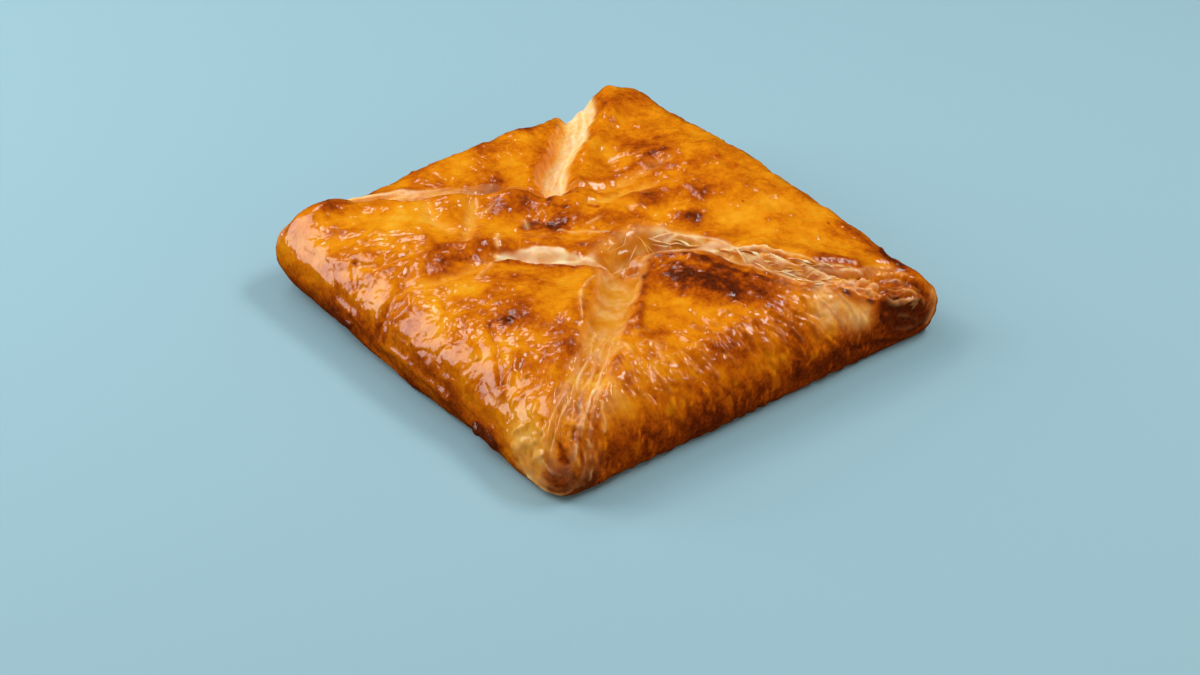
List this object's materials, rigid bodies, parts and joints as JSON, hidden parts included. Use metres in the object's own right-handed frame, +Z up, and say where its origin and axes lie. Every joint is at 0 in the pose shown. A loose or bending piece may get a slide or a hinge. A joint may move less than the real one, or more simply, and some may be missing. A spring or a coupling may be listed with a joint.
{
  "type": "puff pastry khachapuri",
  "caption": "Square of puff pastry with its corners folded in to the middle over a cheese filling, puffed and baked with a glossy egg-washed crust.",
  "frame": {"origin": "middle of the footprint, on the surface that the pastry lies on", "axes": "+Z up; the four rolled sides run along X and Y; the pointed corner nearest the camera in the picture is at -X -Y"},
  "size_m": [0.1728, 0.1773, 0.0365],
  "materials": {
    "baked_crust": "golden brown baked pastry crust under a thin glossy egg glaze"
  },
  "bodies": {
    "root": {"pastry": "baked_crust"}
  },
  "joints": []
}
